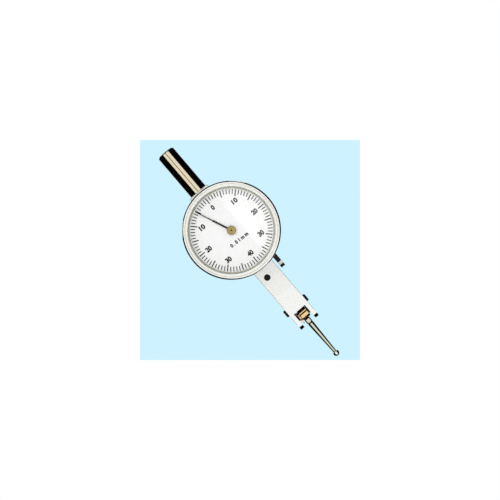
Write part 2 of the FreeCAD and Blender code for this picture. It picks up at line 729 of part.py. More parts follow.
CENTRE_R = 0.35
CENTRE_PIVOT_R = 0.2
CENTRE_TIP_R = 0.25
CENTRE_END_H = 7.25
HUB_R = 1.45
SPIGOT_R = 0.6
NEEDLE_LENGTH = 12.65
NEEDLE_STEP = 6.3
COLLET_R = 0.75
STUD_R = 0.35
STUD_SPOT_R = 3.75
SPRING_TURN = 35.0
HALF_TURNS = 10
COIL_WALL = 0.06


def centre_arbor():
    low, high = PINION_H
    shaft = turned([
        (0, FLOOR_H + 0.05), (CENTRE_PIVOT_R, FLOOR_H + 0.05), (CENTRE_PIVOT_R, low - 0.05),
        (CENTRE_R, low - 0.05), (CENTRE_R, HUB_H[1] - 0.1), (CENTRE_TIP_R, HUB_H[1] - 0.1),
        (CENTRE_TIP_R, CENTRE_END_H), (0, CENTRE_END_H),
    ])
    return facing(shaft.fuse(pinion(CENTRE_PINION_R, low, high)))


def pointer():
    """Flat needle, broad as far as its step and then fine, on an eye under the hub."""
    broad = 0.26
    fine = 0.15
    tip = 0.12
    eye_r = 0.95
    fine_start = NEEDLE_STEP + 0.6
    fine_end = NEEDLE_LENGTH - 0.3
    low, high = NEEDLE_H
    blade = plate([
        (-broad, 0), (broad, 0), (broad, NEEDLE_STEP), (fine, fine_start), (tip, fine_end),
        (0, NEEDLE_LENGTH), (-tip, fine_end), (-fine, fine_start), (-broad, NEEDLE_STEP),
    ], low, high)
    blade = blade.fuse(rod(eye_r, low, high)).cut(rod(SPIGOT_R, low - 1, high + 1))
    return facing(blade, clockwise=-POINTER_REST)


def pointer_hub():
    """Brass boss with a spigot that the needle is staked on."""
    low, high = HUB_H
    bevel = 0.15
    hub = turned([
        (CENTRE_R, low), (SPIGOT_R, low), (SPIGOT_R, NEEDLE_H[1]), (HUB_R, NEEDLE_H[1]),
        (HUB_R, high - bevel), (HUB_R - bevel, high), (CENTRE_TIP_R, high), (CENTRE_TIP_R, high - 0.1), (CENTRE_R, high - 0.1),
    ])
    return facing(hub)


def hairspring():
    """Flat spiral from collet to stud, a chain of half turns whose radius and centre step outwards."""
    low, high = SPRING_H
    inner_r = COLLET_R + COIL_WALL
    step = (STUD_SPOT_R - inner_r) / HALF_TURNS
    edges = []
    ends = []
    for offset in (-COIL_WALL / 2, COIL_WALL / 2):
        centre = 0.0
        side = 1
        chain = []
        for count in range(HALF_TURNS):
            radius = inner_r + count * step + offset
            start = V(centre + side * radius, 0, low)
            top = V(centre, side * radius, low)
            end = V(centre - side * radius, 0, low)
            chain.append((start, top, end))
            centre += side * step
            side = -side
        edges += [Part.Arc(*points).toShape() for points in chain]
        ends.append((chain[0][0], chain[-1][2]))
    for inner_side, outer_side in zip(*ends):
        edges.append(Part.LineSegment(inner_side, outer_side).toShape())
    section = Part.Face(Part.Wire(Part.__sortEdges__(edges)))
    return facing(section.extrude(V(0, 0, high - low)), clockwise=SPRING_TURN)


def hairspring_collet():
    return facing(ring(COLLET_R, CENTRE_R, SPRING_H[0] - 0.05, SPRING_H[1] + 0.05))


def hairspring_stud():
    """Post on the front plate that the spring's outer end is pinned to."""
    stud = rod(STUD_R, PLATE_H[1], SPRING_H[1] + 0.08, x=STUD_SPOT_R + STUD_R + COIL_WALL / 2)
    return facing(stud, clockwise=SPRING_TURN)


# --- Movement plates ---

PILLAR_SPOT_R = 10.6
PILLAR_ANGLES = (90, 210, 330)
PILLAR_R = 0.9
PLATE_SCREW_R = 0.42
PLATE_R = 12.4
CENTRE_BUSH_R = 0.8
REAR_BUSH_R = 0.5
BRIDGE_HALF_W = 0.95
BRIDGE_END_X = -9.4


def front_plate():
    """Round plate on three pillars, lightened by a ring of windows."""
    low, high = PLATE_H
    window_r = 2.1
    window_spot_r = 7.4
    sheet = rod(PLATE_R, low, high).cut(rod(CENTRE_BUSH_R, low - 1, high + 1))
    for angle in PILLAR_ANGLES:
        x, y = polar(PILLAR_SPOT_R, angle)
        sheet = sheet.cut(rod(PLATE_SCREW_R, low - 1, high + 1, x, y))
        x, y = polar(window_spot_r, angle + 60)
        sheet = sheet.cut(rod(window_r, low - 1, high + 1, x, y))
    return facing(sheet)


def at_pillars(shape):
    """The same piece, made about Z, at each pillar."""
    pieces = []
    for angle in PILLAR_ANGLES:
        x, y = polar(PILLAR_SPOT_R, angle)
        one = shape.copy()
        one.translate(V(x, y, 0))
        pieces.append(facing(one))
    return Part.makeCompound(pieces)


def plate_pillars():
    return at_pillars(ring(PILLAR_R, PLATE_SCREW_R, FLOOR_H, PLATE_H[0]))


def plate_screws():
    one = screw(0.9, 0.4, PLATE_SCREW_R, 1.9, round_edge=0.08)
    one.translate(V(0, 0, PLATE_H[1]))
    return at_pillars(one)


def rear_bridge():
    """Cock screwed to the case floor, reaching under the centre arbor's rear pivot."""
    tip = BRIDGE_HALF_W
    pad = 1.3
    pad_x = -4.4
    arm_x = -3.2
    steps = [
        (BRIDGE_END_X, -pad), (pad_x, -pad), (arm_x, -tip), (0, -tip), ((tip, 0), (0, tip)), (arm_x, tip),
        (pad_x, pad), (BRIDGE_END_X, pad),
    ]
    bridge = plate(steps, FLOOR_H, BRIDGE_TOP_H)
    bridge = bridge.cut(rod(REAR_BUSH_R, FLOOR_H - 1, BRIDGE_TOP_H + 1))
    for x in BRIDGE_SCREW_X:
        bridge = bridge.cut(rod(BRIDGE_SCREW_R, FLOOR_H - 1, BRIDGE_TOP_H + 1, x))
    return facing(bridge)


def bridge_screws():
    screws = []
    for x in BRIDGE_SCREW_X:
        one = screw(0.8, 0.4, BRIDGE_SCREW_R, 1.2, round_edge=0.08)
        one.translate(V(0, 0, BRIDGE_TOP_H))
        screws.append(facing(one, x))
    return Part.makeCompound(screws)


def centre_bushes():
    """Bearings of the centre arbor, in the front plate and in the rear bridge."""
    front = ring(CENTRE_BUSH_R, CENTRE_R + RUN, PLATE_H[0], PLATE_H[1])
    rear = ring(REAR_BUSH_R, CENTRE_PIVOT_R + RUN, FLOOR_H, BRIDGE_TOP_H)
    return Part.makeCompound([facing(front), facing(rear)])


# --- Bezel group: turns as one about the dial's axis ---

BEZEL_BACK_H = 3.2
BEZEL_FRONT_H = 8.85
SKIRT_BORE_R = CASE_R + 0.05
KNURL_H = (3.5, 7.5)
KNURL_COUNT = 110
KNURL_DEPTH = 0.2
BEZEL_ROUND = 0.75        # the front edge's radius
LAND_DROP = 0.25          # the flat land lies that far behind the crest
LINE_R = 14.5             # fine groove turned in the land
CREST_R = 14.1


def bezel():
    """Turned ring: grooved front land with an inner lip, milled edge, and a skirt that runs on the case."""
    groove_low = WIRE_H - WIRE_R - 0.08
    groove_high = WIRE_H + WIRE_R + 0.08
    groove_r = WIRE_RING_R + WIRE_R + 0.1
    skirt_top = DIAL_H[0] - 0.05
    core_r = BEZEL_R - KNURL_DEPTH - 0.1
    top = BEZEL_FRONT_H
    land = top - LAND_DROP
    bend = BEZEL_ROUND * (1 - math.sqrt(0.5))
    profile = [
        (SKIRT_BORE_R, BEZEL_BACK_H), (BEZEL_R - 0.2, BEZEL_BACK_H), (BEZEL_R, BEZEL_BACK_H + 0.2),
        (BEZEL_R, KNURL_H[0]), (core_r, KNURL_H[0]), (core_r, KNURL_H[1]), (BEZEL_R, KNURL_H[1]),
        (BEZEL_R, land - BEZEL_ROUND), ((BEZEL_R - bend, land - bend), (BEZEL_R - BEZEL_ROUND, land)),
        (LINE_R + 0.12, land + 0.1), (LINE_R + 0.05, land - 0.07), (LINE_R - 0.05, land - 0.07),
        (LINE_R - 0.12, land + 0.15), ((CREST_R, top), (CREST_R - 0.25, top - 0.08)),
        (WINDOW_R, land), (WINDOW_R, CRYSTAL_H[1]),
        (BEZEL_SEAT_R, CRYSTAL_H[1]), (BEZEL_SEAT_R, skirt_top), (SKIRT_BORE_R, skirt_top),
        (SKIRT_BORE_R, groove_high), (groove_r, groove_high), (groove_r, groove_low),
        (SKIRT_BORE_R, groove_low),
    ]
    star = []
    for count in range(KNURL_COUNT):
        angle = 360 * count / KNURL_COUNT
        half = 180 / KNURL_COUNT
        star.append(polar(BEZEL_R, angle))
        star.append(polar(BEZEL_R - KNURL_DEPTH, angle + half))
    knurl = plate(star, KNURL_H[0], KNURL_H[1]).cut(rod(core_r - 0.1, KNURL_H[0] - 1, KNURL_H[1] + 1))
    return facing(turned(profile).fuse(knurl))


def crystal():
    """Flat window with a bevelled front edge."""
    low, high = CRYSTAL_H
    radius = BEZEL_SEAT_R - RUN
    return facing(turned([(0, low), (radius, low), (radius, high), (0, high)]))


def spacer_ring():
    """Conical ring between dial and crystal."""
    low, high = DIAL_H[1], CRYSTAL_H[0]
    foot_r = 13.12
    top_r = 13.6
    return facing(turned([(foot_r, low), (BEZEL_SEAT_R, low), (BEZEL_SEAT_R, high), (top_r, high)]))


def dial_plate():
    hole_r = 0.95
    return facing(ring(DIAL_R, hole_r, DIAL_H[0], DIAL_H[1]))


def bezel_spring():
    """Open wire ring in the case's groove, which holds the bezel on and gives it friction."""
    wire_circle = Part.Wire(Part.makeCircle(WIRE_R, V(WIRE_RING_R, 0, WIRE_H), V(0, 1, 0)))
    sweep = 345
    hoop = Part.Face(wire_circle).revolve(V(0, 0, 0), V(0, 0, 1), sweep)
    return facing(hoop)


# --- Direction changeover ---

CHANGE_Y = 0.4
CHANGE_Z = -27.85
CHANGE_BUSH_R = 1.3
CHANGE_SHAFT_R = 0.7
CHANGE_REST = 12.0        # degrees that the finger leans back at rest
LEVER_X = (4.48, 5.93)
FINGER_LENGTH = 7.55
CRANK_X = (1.5, 2.15)
CRANK_R = 1.5
CRANK_PIN_R = 0.15
CRANK_PIN_SPOT = (0.31, -1.1)
CRANK_PIN_END_X = 0.0
CHANGE_SCREW_R = 0.4
CHANGE_SCREW_LENGTH = 1.4


def changeover_lever():
    """Finger lever: round hub, waisted arm, and a tip flared both ways for a fingertip."""
    low, high = LEVER_X
    hub_r = 2.0
    root = 1.6
    waist = 0.85
    flare = 0.93
    tip = 1.1
    end = -FINGER_LENGTH
    root_y = -1.2
    neck_y = -3.4
    waist_y = -4.6
    flare_y = -5.6
    steps = [
        (-root, root_y), ((-waist, neck_y), (-waist, waist_y)), ((-flare, flare_y), (-tip, end + 0.9)),
        (-tip, end + 0.35), ((-tip + 0.12, end + 0.1), (-tip + 0.4, end)), (tip - 0.4, end),
        ((tip - 0.12, end + 0.1), (tip, end + 0.35)), (tip, end + 0.9), ((flare, flare_y), (waist, waist_y)),
        ((waist, neck_y), (root, root_y)),
    ]
    finger = plate(steps, low, high).fuse(rod(hub_r, low, high)).removeSplitter()
    finger = finger.cut(rod(CHANGE_SHAFT_R, low - 1, high + 1))
    return across(finger, CHANGE_Y, CHANGE_Z, lean=CHANGE_REST)


def changeover_arbor():
    """Shaft through the right cheek, with a crank disc and two crank pins inside."""
    shaft = rod(CHANGE_SHAFT_R, CRANK_X[0], LEVER_X[1] - 0.1)
    disc = rod(CRANK_R, CRANK_X[0], CRANK_X[1])
    offset, drop = CRANK_PIN_SPOT
    pins = []
    for side in (-1, 1):
        pins.append(rod(CRANK_PIN_R, CRANK_PIN_END_X, CRANK_X[0] + 0.1, side * offset, drop))
    arbor = disc.multiFuse([shaft] + pins)
    arbor = arbor.cut(rod(CHANGE_SCREW_R, LEVER_X[1] - CHANGE_SCREW_LENGTH - 0.2, LEVER_X[1] + 1))
    return across(arbor, CHANGE_Y, CHANGE_Z, lean=CHANGE_REST)


def changeover_bush():
    """Flanged bush that spaces the lever off the bar's side."""
    bush = ring(CHANGE_BUSH_R, CHANGE_SHAFT_R + RUN, CHANNEL_HALF_W, BAR_HALF_W)
    flange_r = 1.75
    flange = ring(flange_r, CHANGE_SHAFT_R + RUN, BAR_HALF_W, LEVER_X[0] - 0.03)
    return across(bush.fuse(flange), CHANGE_Y, CHANGE_Z)


def changeover_screw():
    head_r = 1.25
    head_h = 0.45
    one = screw(head_r, head_h, CHANGE_SCREW_R, CHANGE_SCREW_LENGTH)
    one.translate(V(0, 0, LEVER_X[1]))
    return across(one, CHANGE_Y, CHANGE_Z, lean=CHANGE_REST)


# --- Lever stop and the front screw that holds it ---

STOP_GAP = 0.08
STOP_HALF_H = 1.2
STOP_HOLE_H = 0.2         # floor of its screw hole, from the bar's mid-plane
STOP_X = (-1.85, -0.1)
STOP_WALL_X = -0.75       # the block's web lies to the left of this
STOP_BACK_Y = 1.4


def lever_stop():
    """C-shaped block: its two faces end the arm's travel."""
    x, z = FRONT_SCREW
    reach = z - PIVOT_Z
    back_face, _ = along_line(reach, ARM_ANGLE)
    front_face, _ = along_line(reach, LINE_ANGLE - LEVER_REST)
    back_y = back_face + ARM_HALF + STOP_GAP
    front_y = front_face - ARM_HALF - STOP_GAP
    heights = (z - STOP_HALF_H, z + STOP_HALF_H)
    stop = block(STOP_X, (CHANNEL_FRONT_Y, STOP_BACK_Y), heights)
    mouth = (STOP_WALL_X, STOP_X[1] + 1)
    stop = stop.cut(block(mouth, (front_y, back_y), (heights[0] - 1, heights[1] + 1)))
    return stop.cut(facing(rod(FRONT_SCREW_R, STOP_HOLE_H, BAR_HALF_D), x, z))


def front_screw():
    """Round-headed screw with a socket, in the bar's front face."""
    x, z = FRONT_SCREW
    head_r = 1.02
    head = 0.3
    length = 2.2
    socket_r = 0.36
    socket_depth = 0.7
    steps = [
        (0, -length), (FRONT_SCREW_R, -length), (FRONT_SCREW_R, 0), (head_r, 0), (head_r, head / 2),
        ((head_r * 0.86, head * 0.85), (head_r * 0.6, head)), (0, head),
    ]
    socket = [polar(socket_r, 60 * count) for count in range(6)]
    one = turned(steps).cut(plate(socket, head - socket_depth, head + 1))
    one.translate(V(0, 0, BAR_HALF_D))
    return facing(one, x, z)


MAKERS = (
    body, stem, back_cover, cover_screws, nose_fork, fork_screws, bearing_screws,
    pivot_drum, friction_washer, stylus, stylus_ball,
    main_lever, lever_axle, drive_pin, bias_spring, spring_rivets,
    sector_gear, sector_arbor, arbor_bushes, crown_wheel, crown_arbor,
    centre_arbor, pointer, pointer_hub, hairspring, hairspring_collet, hairspring_stud,
    front_plate, plate_pillars, plate_screws, rear_bridge, bridge_screws, centre_bushes,
    bezel, crystal, spacer_ring, dial_plate, bezel_spring,
    changeover_lever, changeover_arbor, changeover_bush, changeover_screw,
    lever_stop, front_screw,
)

os.makedirs("parts", exist_ok=True)
for maker in MAKERS:
    piece = maker()
    if not piece.isValid():
        raise ValueError(maker.__name__ + " isn't a valid shape")
    piece.exportStep("parts/" + maker.__name__ + ".step")
    print(maker.__name__, len(piece.Solids), round(piece.Volume, 3))
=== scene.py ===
import math

import bmesh
import bpy
from mathutils import Matrix, Vector


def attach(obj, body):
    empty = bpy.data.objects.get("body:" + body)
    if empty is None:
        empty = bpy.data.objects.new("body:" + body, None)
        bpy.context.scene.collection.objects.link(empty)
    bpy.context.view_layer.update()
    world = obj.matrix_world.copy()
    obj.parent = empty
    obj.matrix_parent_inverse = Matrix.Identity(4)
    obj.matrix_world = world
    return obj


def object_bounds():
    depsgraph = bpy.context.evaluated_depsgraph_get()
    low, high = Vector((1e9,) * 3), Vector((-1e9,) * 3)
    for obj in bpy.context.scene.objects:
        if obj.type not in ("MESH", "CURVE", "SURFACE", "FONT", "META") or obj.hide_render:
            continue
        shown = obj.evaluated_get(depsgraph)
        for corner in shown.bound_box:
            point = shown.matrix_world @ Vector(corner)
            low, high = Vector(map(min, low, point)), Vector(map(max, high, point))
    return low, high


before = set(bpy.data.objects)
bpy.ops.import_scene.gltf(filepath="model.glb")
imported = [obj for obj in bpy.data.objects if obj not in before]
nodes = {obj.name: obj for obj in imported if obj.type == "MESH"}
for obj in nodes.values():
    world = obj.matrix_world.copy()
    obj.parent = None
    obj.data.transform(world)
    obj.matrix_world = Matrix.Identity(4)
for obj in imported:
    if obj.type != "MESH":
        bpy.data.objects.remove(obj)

cad_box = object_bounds()

# --- Bar and case ---
# One steel piece: the bar that carries everything and the shallow round case under the bezel.
# It is milled, vapour blasted and chrome plated, so it is pale and even, with a soft silky shine.
# The face of its foot, over the drum, is painted dark: painted shade in the gap over the drum.

MM = 0.001
SATIN = 0.5                 # metallic share: blasted metal scatters the rest of the light evenly
FOOT_HEIGHT = -48.99        # millimetres, from where the stem meets the bar
FOOT_SHADE_REACH = 1.0            # half the height of the painted shade, from there down
NOISE_DETAIL = 3.0
RELIEF_STRENGTH = 0.5


def linear(code):
    """An sRGB hex colour as linear RGBA."""
    shares = [int(code[at:at + 2], 16) / 255 for at in (0, 2, 4)]
    return [s / 12.92 if s <= 0.04045 else ((s + 0.055) / 1.055) ** 2.4 for s in shares] + [1.0]


def add(material, kind, settings, sockets):
    """Adds a node: its own settings, then its sockets, each a value or another node's output."""
    made = material.node_tree.nodes.new("ShaderNode" + kind)
    for name, value in settings.items():
        setattr(made, name, value)
    for key, value in sockets.items():
        if isinstance(value, bpy.types.NodeSocket):
            material.node_tree.links.new(value, made.inputs[key])
        else:
            made.inputs[key].default_value = value
    return made


def start_finish(name, metallic):
    """A new material with its shader, and the place on the piece in the row's own metres."""
    material = bpy.data.materials.new(name)
    material.use_nodes = True
    shader = material.node_tree.nodes["Principled BSDF"]
    shader.inputs["Metallic"].default_value = metallic
    place = add(material, "TexCoord", {}, {}).outputs["Object"]
    return material, shader, place


def shade(material, shader, where, grain_mm, colours, roughness, depth_mm):
    """Drives colour, roughness and relief from one noise whose grain has that size."""
    noise = add(material, "TexNoise", {}, {
        "Vector": where, "Scale": 1 / (grain_mm * MM), "Detail": NOISE_DETAIL})
    value = noise.outputs["Fac"]
    tint = add(material, "Mix", {"data_type": "RGBA"}, {
        "Factor": value, "A": linear(colours[0]), "B": linear(colours[1])})
    material.node_tree.links.new(tint.outputs["Result"], shader.inputs["Base Color"])
    spread = add(material, "MapRange", {}, {"Value": value, "To Min": roughness[0], "To Max": roughness[1]})
    material.node_tree.links.new(spread.outputs["Result"], shader.inputs["Roughness"])
    relief = add(material, "Bump", {}, {
        "Height": value, "Strength": RELIEF_STRENGTH, "Distance": depth_mm * MM})
    material.node_tree.links.new(relief.outputs["Normal"], shader.inputs["Normal"])


def along(material, place, axis):
    """One coordinate of the place on the piece, in metres."""
    return add(material, "SeparateXYZ", {}, {"Vector": place}).outputs[axis]


def within(material, value, middle_mm, reach_mm):
    """1 where a value lies within a reach of a middle, and 0 elsewhere."""
    return add(material, "Math", {"operation": "COMPARE"}, {
        0: value, 1: middle_mm * MM, 2: reach_mm * MM}).outputs["Value"]


def recolour(material, shader, where, colour):
    """Gives another colour to a part of the piece."""
    before = shader.inputs["Base Color"].links[0].from_socket
    both = add(material, "Mix", {"data_type": "RGBA"}, {"Factor": where, "A": before, "B": linear(colour)})
    material.node_tree.links.new(both.outputs["Result"], shader.inputs["Base Color"])


def wear(material, *names):
    """Gives a finish to CAD nodes."""
    for name in names:
        slots = nodes[name].data.materials
        slots.clear()
        slots.append(material)


satin_chrome, satin_shader, satin_place = start_finish("satin chrome plate", SATIN)
shade(satin_chrome, satin_shader, satin_place, grain_mm=0.35, colours=("F3F3EF", "F9FAF7"),
      roughness=(0.3, 0.38), depth_mm=0.0015)
# Painted shade: the foot's face over the drum is coloured dark.
foot_shade = within(satin_chrome, along(satin_chrome, satin_place, "Z"), FOOT_HEIGHT - FOOT_SHADE_REACH, FOOT_SHADE_REACH)
recolour(satin_chrome, satin_shader, foot_shade, "1C1815")
wear(satin_chrome, "body")

# --- Stem ---
# Spigot that a holder clamps. Hardened steel, ground and polished between centres, so it is bright
# and slightly warm, with the finest lines running round it.

LINE_SHARE = 0.02           # turned and ground lines run fifty times as long as they are wide


def stretch(material, place, share):
    """The place with each axis scaled, so that a noise read there is drawn out along an axis."""
    return add(material, "Mapping", {}, {"Vector": place, "Scale": share}).outputs["Vector"]


ground_steel, steel_shader, steel_place = start_finish("ground and polished steel", 1.0)
round_lines = stretch(ground_steel, steel_place, (LINE_SHARE, LINE_SHARE, 1.0))
shade(ground_steel, steel_shader, round_lines, grain_mm=0.12, colours=("E3D3B2", "ECDFC4"),
      roughness=(0.05, 0.11), depth_mm=0.0008)
wear(ground_steel, "stem")

# --- Back cover ---
# Plate let into the bar's back, plated with it, and held by four countersunk screws. They are of plain
# turned steel, like other small parts here: grey and bright, with fine marks from the tool.

wear(satin_chrome, "back_cover")
turned_steel, turned_shader, turned_place = start_finish("turned steel", 1.0)
shade(turned_steel, turned_shader, turned_place, grain_mm=0.2, colours=("B9B7B0", "CFCDC6"),
      roughness=(0.2, 0.34), depth_mm=0.003)
wear(turned_steel, "cover_screws", "changeover_bush", "changeover_arbor", "lever_stop")

# --- Nose fork ---
# End piece let into the bar, whose two ears carry the bearings, with a brighter chrome plate than the
# bar's. The side screws are blackened steel, nearly black and without shine, and the slotted bearing
# screws are plain.

SLOT_HALF = 2.305           # the slot's walls, painted dark as painted shade, lie within this
EAR_SIDE = 3.65             # the ears' outer faces, satin like the bar's
EAR_REACH = 0.01
OXIDE_GLOSS = 0.25
OXIDE = {"grain_mm": 0.3, "colours": ("020202", "070707"), "roughness": (0.3, 0.45), "depth_mm": 0.002}


def part_metal(material, shader, where, inside):
    """Gives another metallic share to a part of the piece."""
    outside = shader.inputs["Metallic"].default_value
    share = add(material, "MapRange", {}, {"Value": where, "To Min": outside, "To Max": inside})
    material.node_tree.links.new(share.outputs["Result"], shader.inputs["Metallic"])


nose_chrome, nose_shader, nose_place = start_finish("polished chrome plate", 1.0)
shade(nose_chrome, nose_shader, nose_place, grain_mm=0.35, colours=("F2F3F1", "F8F9F7"),
      roughness=(0.05, 0.1), depth_mm=0.0004)
across_nose = along(nose_chrome, nose_place, "X")
# Painted shade: the slot's walls between the ears are coloured dark, as the gap over the drum is in shade.
recolour(nose_chrome, nose_shader, within(nose_chrome, across_nose, 0.0, SLOT_HALF), "1C1815")
from_middle = add(nose_chrome, "Math", {"operation": "ABSOLUTE"}, {0: across_nose}).outputs["Value"]
ear_sides = within(nose_chrome, from_middle, EAR_SIDE, EAR_REACH)
part_metal(nose_chrome, nose_shader, ear_sides, SATIN)
wear(nose_chrome, "nose_fork")
black_oxide, oxide_shader, oxide_place = start_finish("black oxide on steel", 0.0)
shade(black_oxide, oxide_shader, oxide_place, **OXIDE)
oxide_shader.inputs["Specular IOR Level"].default_value = OXIDE_GLOSS
wear(black_oxide, "fork_screws")
wear(turned_steel, "bearing_screws")

# --- Pivot drum and friction nut ---
# Brass drum that the stylus screws into, polished in the lathe, so it mirrors and shows fine rings. The
# friction nut beside it is phosphor bronze, redder and a little duller.

polished_brass, brass_shader, brass_place = start_finish("polished brass", 1.0)
turning_lines = stretch(polished_brass, brass_place, (1.0, LINE_SHARE, LINE_SHARE))
shade(polished_brass, brass_shader, turning_lines, grain_mm=0.12, colours=("EBC88C", "F5D9A4"),
      roughness=(0.03, 0.06), depth_mm=0.0004)
wear(polished_brass, "pivot_drum")
bronze, bronze_shader, bronze_place = start_finish("phosphor bronze", 1.0)
shade(bronze, bronze_shader, bronze_place, grain_mm=0.2, colours=("F0BE98", "F8D3B2"),
      roughness=(0.08, 0.16), depth_mm=0.001)
wear(bronze, "friction_washer")

# --- Stylus ---
# Contact point: waisted neck with spanner flats and tapered rod of hard steel, polished in the lathe and
# slightly straw-coloured, with a lapped ball that is brighter still.

SHADED_HOLLOWS = ((-52.85, 0.2), (-54.575, 0.21))      # painted shade in the collar and the groove: height and half their width

stylus_steel, stylus_shader, stylus_place = start_finish("hard polished steel", 1.0)
rod_lines = stretch(stylus_steel, stylus_place, (LINE_SHARE, LINE_SHARE, 1.0))
shade(stylus_steel, stylus_shader, rod_lines, grain_mm=0.12, colours=("D0D0B6", "DCDCC8"),
      roughness=(0.03, 0.06), depth_mm=0.0003)
stylus_height = along(stylus_steel, stylus_place, "Z")
# Painted shade: the collar and the groove are coloured dark.
for shaded_hollow in SHADED_HOLLOWS:
    recolour(stylus_steel, stylus_shader, within(stylus_steel, stylus_height, *shaded_hollow), "16130F")
wear(stylus_steel, "stylus")
lapped_steel, lapped_shader, lapped_place = start_finish("lapped steel", 1.0)
shade(lapped_steel, lapped_shader, lapped_place, grain_mm=0.15, colours=("ECECE8", "F4F4F0"),
      roughness=(0.03, 0.08), depth_mm=0.0004)
wear(lapped_steel, "stylus_ball")

# --- Lever inside the bar ---
# Hardened lever, dark grey and dull, with its plain axle and driving pin and a riveted leaf spring, blued
# to a deep grey blue. They show only through the slot.

dark_steel, dark_shader, dark_place = start_finish("hardened dark steel", 1.0)
shade(dark_steel, dark_shader, dark_place, grain_mm=0.25, colours=("2A2624", "3C3632"),
      roughness=(0.28, 0.42), depth_mm=0.003)
wear(dark_steel, "main_lever")
spring_steel, spring_shader, spring_place = start_finish("blued spring steel", 1.0)
shade(spring_steel, spring_shader, spring_place, grain_mm=0.3, colours=("39435C", "55607C"),
      roughness=(0.2, 0.3), depth_mm=0.001)
wear(spring_steel, "bias_spring", "hairspring", "bezel_spring")
wear(turned_steel, "lever_axle", "drive_pin")
wear(polished_brass, "spring_rivets")

# --- Movement ---
# Wheels, plates and bushes of brass with steel arbors, in the bar and under the dial. The brass is
# grained with straight fine lines, so it is dull gold.

GRAIN_SHARE = 0.1           # the grain runs ten times as long as it is wide

grained_brass, grained_shader, grained_place = start_finish("grained brass", 1.0)
grain = stretch(grained_brass, grained_place, (GRAIN_SHARE, 1.0, 1.0))
shade(grained_brass, grained_shader, grain, grain_mm=0.15, colours=("C29A52", "D6B16B"),
      roughness=(0.24, 0.36), depth_mm=0.003)
wear(grained_brass, "sector_gear", "arbor_bushes", "crown_wheel", "hairspring_collet", "hairspring_stud",
     "front_plate", "plate_pillars", "rear_bridge", "centre_bushes")
wear(turned_steel, "sector_arbor", "crown_arbor", "plate_screws", "bridge_screws")
wear(dark_steel, "centre_arbor")

# --- Dial ---
# Brass disc in matt, even white lacquer, printed in dark grey: eighty divisions, the numbers of a balanced
# scale that runs both ways from zero, and the value of one division. It turns with the bezel.

DIAL_CENTRE = Vector((0, -6.5 * MM, -16.1 * MM))
DIAL_TURN = 1.1             # degrees clockwise that the bezel has been set
DIVISIONS = 80
LONG_EVERY = 5
TICK_END = 12.9             # millimetres from the centre, as are the next three
SHORT_START = 11.4
LONG_START = 10.75
NUMBER_SPOT = 9.25
TICK_WIDTH = 0.27
LONG_WIDTH = 0.34
INK = 0.012                 # thickness of the print
NUMBERS = 8
NUMBER_STEP = 10
NUMBER_HEIGHT = 1.7
ZERO_WIDTH = 1.0
PAIR_WIDTH = 1.95           # of a number with two digits
NUMBER_WEIGHT = 0.09        # how far each stroke's outline moves out, before the number is fitted
UNIT_SPOT = -3.8
UNIT_HEIGHT = 1.3
UNIT_WIDTH = 6.8
UNIT_WEIGHT = 0.065
UNIT_GAP = 1.5              # share of the usual distance from letter to letter
LETTER_STEPS = 4            # straight pieces to each curve of a letter

dial_plane = (Matrix.Translation(DIAL_CENTRE) @ Matrix.Rotation(math.radians(DIAL_TURN), 4, "Y")
              @ Matrix.Rotation(math.pi / 2, 4, "X") @ Matrix.Scale(MM, 4))


def mesh_piece(name, work, material):
    """Makes a finished mesh an object of the scene."""
    mesh = bpy.data.meshes.new(name)
    work.to_mesh(mesh)
    work.free()
    mesh.materials.append(material)
    made = bpy.data.objects.new(name, mesh)
    bpy.context.scene.collection.objects.link(made)
    return made


def print_words(work, words, spot, height, width, weight, gap=1.0):
    """Adds raised lettering to a flat print: centred on a spot, and fitted to a height and width."""
    face = bpy.data.curves.new(words, "FONT")
    face.body = words
    face.size = height
    face.space_character = gap
    face.offset = weight
    face.extrude = INK / 2
    face.resolution_u = LETTER_STEPS
    lettering = bpy.data.objects.new(words, face)
    mesh = bpy.data.meshes.new_from_object(lettering)
    low = Vector([min(v.co[axis] for v in mesh.vertices) for axis in range(3)])
    high = Vector([max(v.co[axis] for v in mesh.vertices) for axis in range(3)])
    fit = Matrix.Diagonal((width / (high.x - low.x), height / (high.y - low.y), 1, 1))
    mesh.transform(Matrix.Translation((*spot, INK / 2)) @ fit @ Matrix.Translation(-(low + high) / 2))
    work.from_mesh(mesh)
    bpy.data.objects.remove(lettering)
    bpy.data.curves.remove(face)
    bpy.data.meshes.remove(mesh)


lacquer, lacquer_shader, lacquer_place = start_finish("matt white lacquer", 0.0)
shade(lacquer, lacquer_shader, lacquer_place, grain_mm=0.25, colours=("FBFBFA", "FFFFFE"),
      roughness=(0.45, 0.55), depth_mm=0.0004)
wear(lacquer, "dial_plate")
ink, ink_shader, ink_place = start_finish("dark grey dial ink", 0.0)
shade(ink, ink_shader, ink_place, grain_mm=0.2, colours=("0C0C0C", "161616"),
      roughness=(0.5, 0.65), depth_mm=0.001)
ink_shader.inputs["Specular IOR Level"].default_value = 0.3

scale_work = bmesh.new()
for count in range(DIVISIONS):
    is_long = count % LONG_EVERY == 0
    start = LONG_START if is_long else SHORT_START
    width = LONG_WIDTH if is_long else TICK_WIDTH
    turn = Matrix.Rotation(-2 * math.pi * count / DIVISIONS, 4, "Z")
    middle = Matrix.Translation((0, (start + TICK_END) / 2, INK / 2))
    size = Matrix.Diagonal((width, TICK_END - start, INK, 1))
    bmesh.ops.create_cube(scale_work, size=1, matrix=turn @ middle @ size)
bmesh.ops.transform(scale_work, matrix=dial_plane, verts=scale_work.verts)
dial_scale = mesh_piece("dial_scale", scale_work, ink)

